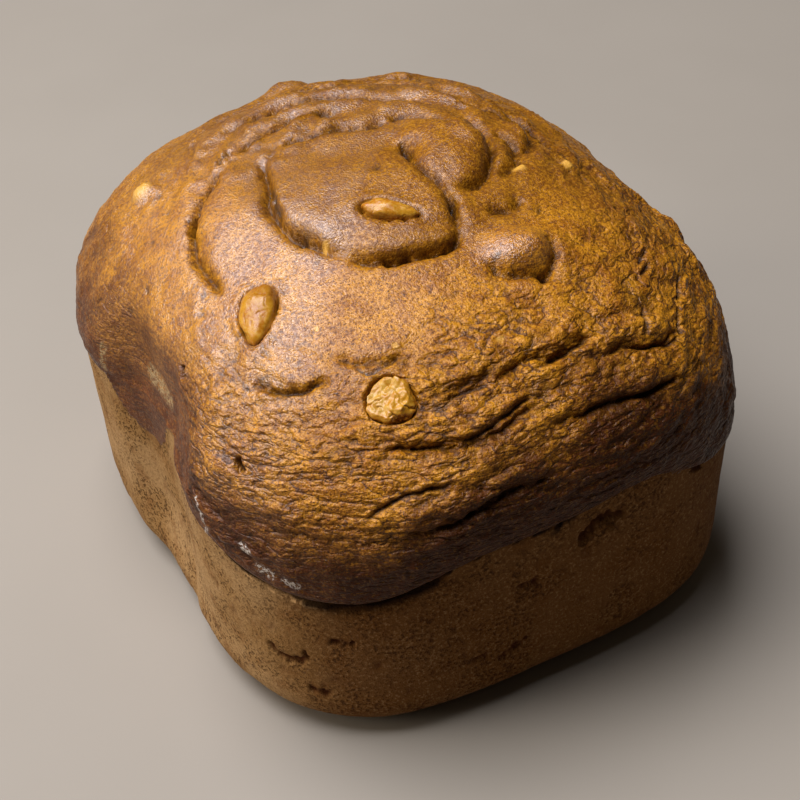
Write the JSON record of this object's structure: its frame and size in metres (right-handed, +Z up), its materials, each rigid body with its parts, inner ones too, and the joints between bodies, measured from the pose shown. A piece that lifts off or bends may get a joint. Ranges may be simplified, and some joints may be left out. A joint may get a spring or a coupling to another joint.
{
  "type": "pumpkin bread loaf",
  "caption": "Whole pumpkin bread loaf with a domed, folded brown crust over straight tan pan-baked sides, and walnut pieces showing in the top.",
  "frame": {"origin": "centre of the loaf's footprint box, on the surface it stands on", "axes": "+Z up; +Y runs along the loaf's longer side, from the front wall to the back wall; +X to the right"},
  "size_m": [0.141, 0.1658, 0.1067],
  "materials": {
    "crust": "satin baked crust, golden to dark brown, over matt tan pan-baked sides",
    "walnut": "satin toasted walnut"
  },
  "bodies": {
    "root": {"loaf": "crust", "walnut_crown": "walnut", "walnut_left": "walnut", "walnut_front": "walnut"}
  },
  "joints": []
}
